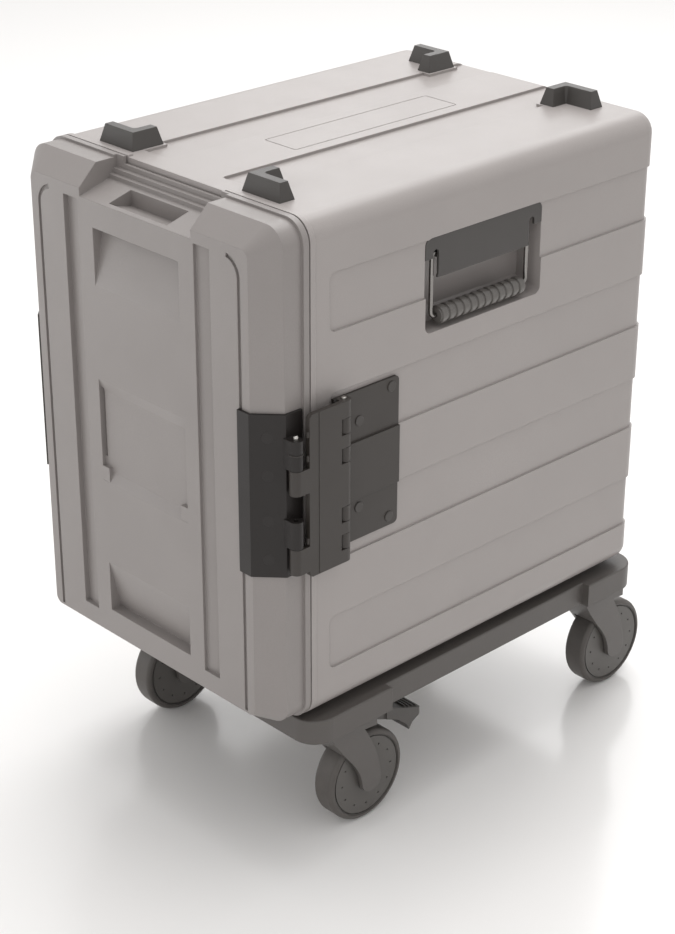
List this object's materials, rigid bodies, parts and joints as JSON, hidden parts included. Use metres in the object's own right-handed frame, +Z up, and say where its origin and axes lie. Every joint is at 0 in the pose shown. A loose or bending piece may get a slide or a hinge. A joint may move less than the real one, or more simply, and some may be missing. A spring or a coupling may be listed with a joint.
{
  "type": "insulated food carrier",
  "caption": "Front-loading insulated food carrier with a double-pivot door, side bail handles, stacking studs and ledged chamber, on a swivel-castor trolley.",
  "frame": {"origin": "on the floor under the middle of the assembly", "axes": "+Z up, door faces -Y, hinge on the +X side"},
  "size_m": [0.48, 0.7226, 0.849],
  "materials": {
    "body_shell": "satin moulded polypropylene, warm grey",
    "door_shell": "satin moulded polypropylene, warm grey",
    "liner": "smooth moulded polypropylene",
    "door_panel": "smooth moulded polypropylene",
    "foam": "rigid closed-cell foam",
    "gasket": "soft silicone",
    "studs": "fine-textured moulded plastic, anthracite",
    "pin_steel": "bright turned stainless steel",
    "rivets": "anthracite",
    "screws": "anthracite",
    "wire_steel": "drawn stainless wire",
    "grip": "ribbed moulded grip",
    "handle_plate": "fine-textured, anthracite",
    "hinge_plastic": "fine-textured, anthracite",
    "trolley": "fine-textured, dark grey",
    "mount_steel": "zinc-plated steel",
    "fork": "glass-filled nylon, dark grey",
    "tyre": "grey thermoplastic rubber",
    "wheel_centre": "moulded, dark grey",
    "pedal": "moulded, dark grey"
  },
  "bodies": {
    "carrier": {"body_foam": "foam", "body_liner": "liner", "body_outer_shell": "body_shell", "castor_mount_front_left": "mount_steel", "castor_mount_front_right": "mount_steel", "castor_mount_rear_left": "mount_steel", "castor_mount_rear_right": "mount_steel", "handle_plate_left": "handle_plate", "handle_plate_right": "handle_plate", "hinge_body_plate": "hinge_plastic", "hinge_body_rivets": "rivets", "hinge_rear_pin": "pin_steel", "latch_body_plate": "hinge_plastic", "latch_body_rivets": "rivets", "latch_rear_pin": "pin_steel", "stacking_studs": "studs", "trolley_frame": "trolley"},
    "hinge_link": {"hinge_link_flap": "hinge_plastic", "hinge_front_pins": "pin_steel"},
    "door": {"door_outer_shell": "door_shell", "door_inner_panel": "door_panel", "door_foam": "foam", "door_gasket": "gasket", "hinge_door_plate": "hinge_plastic", "hinge_door_screws": "screws", "latch_door_plate": "hinge_plastic", "latch_door_screws": "screws"},
    "latch": {"latch_flap": "hinge_plastic", "latch_bars": "pin_steel"},
    "handle_right": {"handle_bail_right": "wire_steel", "handle_grip_right": "grip"},
    "handle_left": {"handle_bail_left": "wire_steel", "handle_grip_left": "grip"},
    "castor_front_right": {"castor_fork_front_right": "fork", "castor_axle_front_right": "pin_steel", "brake_pin_front_right": "pin_steel"},
    "wheel_front_right": {"castor_wheel_front_right": "wheel_centre", "castor_tyre_front_right": "tyre"},
    "brake_front_right": {"brake_pedal_front_right": "pedal"},
    "castor_front_left": {"castor_fork_front_left": "fork", "castor_axle_front_left": "pin_steel", "brake_pin_front_left": "pin_steel"},
    "wheel_front_left": {"castor_wheel_front_left": "wheel_centre", "castor_tyre_front_left": "tyre"},
    "brake_front_left": {"brake_pedal_front_left": "pedal"},
    "castor_rear_right": {"castor_fork_rear_right": "fork", "castor_axle_rear_right": "pin_steel"},
    "wheel_rear_right": {"castor_wheel_rear_right": "wheel_centre", "castor_tyre_rear_right": "tyre"},
    "castor_rear_left": {"castor_fork_rear_left": "fork", "castor_axle_rear_left": "pin_steel"},
    "wheel_rear_left": {"castor_wheel_rear_left": "wheel_centre", "castor_tyre_rear_left": "tyre"}
  },
  "joints": [
    {"name": "hinge_link_swing", "type": "hinge", "parent": "carrier", "child": "hinge_link", "pos_m": [0.232, -0.25575, 0.515], "axis": [0, 0, 1], "range_deg": [0, 90]},
    {"name": "door_swing", "type": "hinge", "parent": "hinge_link", "child": "door", "pos_m": [0.232, -0.32775, 0.515], "axis": [0, 0, 1], "range_deg": [0, 180]},
    {"name": "latch_swing", "type": "hinge", "parent": "carrier", "child": "latch", "pos_m": [-0.232, -0.25575, 0.515], "axis": [0, 0, -1], "range_deg": [0, 110]},
    {"name": "handle_right_swing", "type": "hinge", "parent": "carrier", "child": "handle_right", "pos_m": [0.211, -0.01725, 0.741], "axis": [0, 1, 0], "range_deg": [-90, 0]},
    {"name": "handle_left_swing", "type": "hinge", "parent": "carrier", "child": "handle_left", "pos_m": [-0.211, -0.01725, 0.741], "axis": [0, -1, 0], "range_deg": [-90, 0]},
    {"name": "swivel_front_right", "type": "hinge", "parent": "carrier", "child": "castor_front_right", "pos_m": [0.178, -0.21525, 0.16], "axis": [0, 0, 1], "continuous": true},
    {"name": "roll_front_right", "type": "hinge", "parent": "castor_front_right", "child": "wheel_front_right", "pos_m": [0.178, -0.17625, 0.0625], "axis": [1, 0, 0], "continuous": true},
    {"name": "brake_front_right_press", "type": "hinge", "parent": "castor_front_right", "child": "brake_front_right", "pos_m": [0.178, -0.17525, 0.151], "axis": [1, 0, 0], "range_deg": [-10, 0]},
    {"name": "swivel_front_left", "type": "hinge", "parent": "carrier", "child": "castor_front_left", "pos_m": [-0.178, -0.21525, 0.16], "axis": [0, 0, 1], "continuous": true},
    {"name": "roll_front_left", "type": "hinge", "parent": "castor_front_left", "child": "wheel_front_left", "pos_m": [-0.178, -0.17625, 0.0625], "axis": [1, 0, 0], "continuous": true},
    {"name": "brake_front_left_press", "type": "hinge", "parent": "castor_front_left", "child": "brake_front_left", "pos_m": [-0.178, -0.17525, 0.151], "axis": [1, 0, 0], "range_deg": [-10, 0]},
    {"name": "swivel_rear_right", "type": "hinge", "parent": "carrier", "child": "castor_rear_right", "pos_m": [0.178, 0.25975, 0.16], "axis": [0, 0, 1], "continuous": true},
    {"name": "roll_rear_right", "type": "hinge", "parent": "castor_rear_right", "child": "wheel_rear_right", "pos_m": [0.178, 0.29875, 0.0625], "axis": [1, 0, 0], "continuous": true},
    {"name": "swivel_rear_left", "type": "hinge", "parent": "carrier", "child": "castor_rear_left", "pos_m": [-0.178, 0.25975, 0.16], "axis": [0, 0, 1], "continuous": true},
    {"name": "roll_rear_left", "type": "hinge", "parent": "castor_rear_left", "child": "wheel_rear_left", "pos_m": [-0.178, 0.29875, 0.0625], "axis": [1, 0, 0], "continuous": true}
  ]
}
